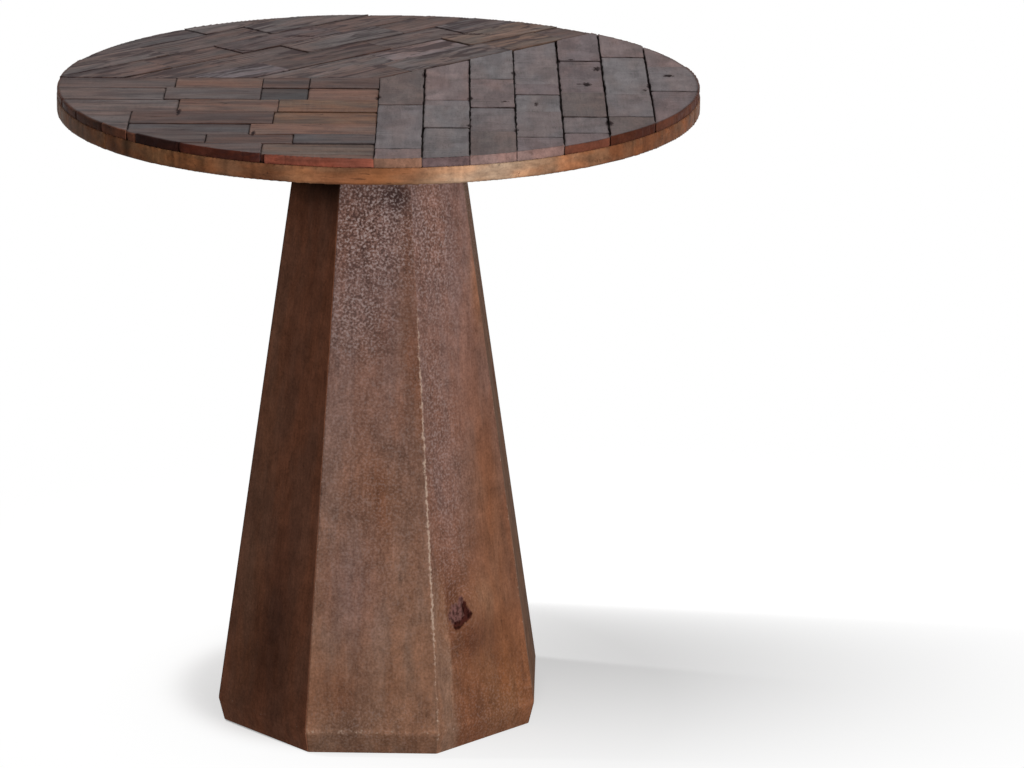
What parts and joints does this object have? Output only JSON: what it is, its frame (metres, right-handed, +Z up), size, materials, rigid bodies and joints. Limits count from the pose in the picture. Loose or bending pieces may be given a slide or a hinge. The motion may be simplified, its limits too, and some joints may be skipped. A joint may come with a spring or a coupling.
{
  "type": "pedestal side table",
  "caption": "Round side table: a mosaic of weathered wood blocks on a plank board, bolted to a hollow, tapered eight-sided pedestal of mitred staves.",
  "frame": {"origin": "on the floor under the middle of the top, at the bottom centre of the bounding box", "axes": "+Z up, along the pedestal's axis; -Y to the front, square to the front stave; +X to the right seen from the front"},
  "size_m": [0.61, 0.61, 0.625],
  "materials": {
    "mosaic_column_wood": "weathered, satin",
    "mosaic_row_wood": "weathered, satin",
    "mosaic_diagonal_wood": "weathered, satin",
    "core_wood": "oiled, satin",
    "stave_wood": "stained, satin",
    "inside_wood": "bare",
    "plate_wood": "stained, matte",
    "glide_nylon": "matte",
    "fastener_steel": "zinc plated",
    "insert_brass": "plain"
  },
  "bodies": {
    "root": {"bolt_washers": "fastener_steel", "core_plank_1": "core_wood", "core_plank_2": "core_wood", "core_plank_3": "core_wood", "core_plank_4": "core_wood", "core_plank_5": "core_wood", "corner_tongues": "inside_wood", "foot_cleats": "inside_wood", "foot_glides": "glide_nylon", "foot_plate": "plate_wood", "foot_plate_screws": "fastener_steel", "glide_nails": "fastener_steel", "middle_brace": "inside_wood", "mosaic_column_1": "mosaic_column_wood", "mosaic_column_2": "mosaic_column_wood", "mosaic_column_3": "mosaic_column_wood", "mosaic_column_4": "mosaic_column_wood", "mosaic_column_5": "mosaic_column_wood", "mosaic_column_6": "mosaic_column_wood", "mosaic_column_7": "mosaic_column_wood", "mosaic_diagonal_1": "mosaic_diagonal_wood", "mosaic_diagonal_2": "mosaic_diagonal_wood", "mosaic_diagonal_3": "mosaic_diagonal_wood", "mosaic_diagonal_4": "mosaic_diagonal_wood", "mosaic_diagonal_5": "mosaic_diagonal_wood", "mosaic_diagonal_6": "mosaic_diagonal_wood", "mosaic_diagonal_7": "mosaic_diagonal_wood", "mosaic_row_1": "mosaic_row_wood", "mosaic_row_2": "mosaic_row_wood", "mosaic_row_3": "mosaic_row_wood", "mosaic_row_4": "mosaic_row_wood", "mosaic_row_5": "mosaic_row_wood", "mosaic_row_6": "mosaic_row_wood", "mosaic_row_7": "mosaic_row_wood", "mosaic_row_8": "mosaic_row_wood", "mounting_plate": "plate_wood", "mounting_screws": "fastener_steel", "neck_block": "inside_wood", "stave_back": "stave_wood", "stave_back_left": "stave_wood", "stave_back_right": "stave_wood", "stave_front": "stave_wood", "stave_front_left": "stave_wood", "stave_front_right": "stave_wood", "stave_left": "stave_wood", "stave_right": "stave_wood", "threaded_inserts": "insert_brass", "top_bolts": "fastener_steel"}
  },
  "joints": []
}
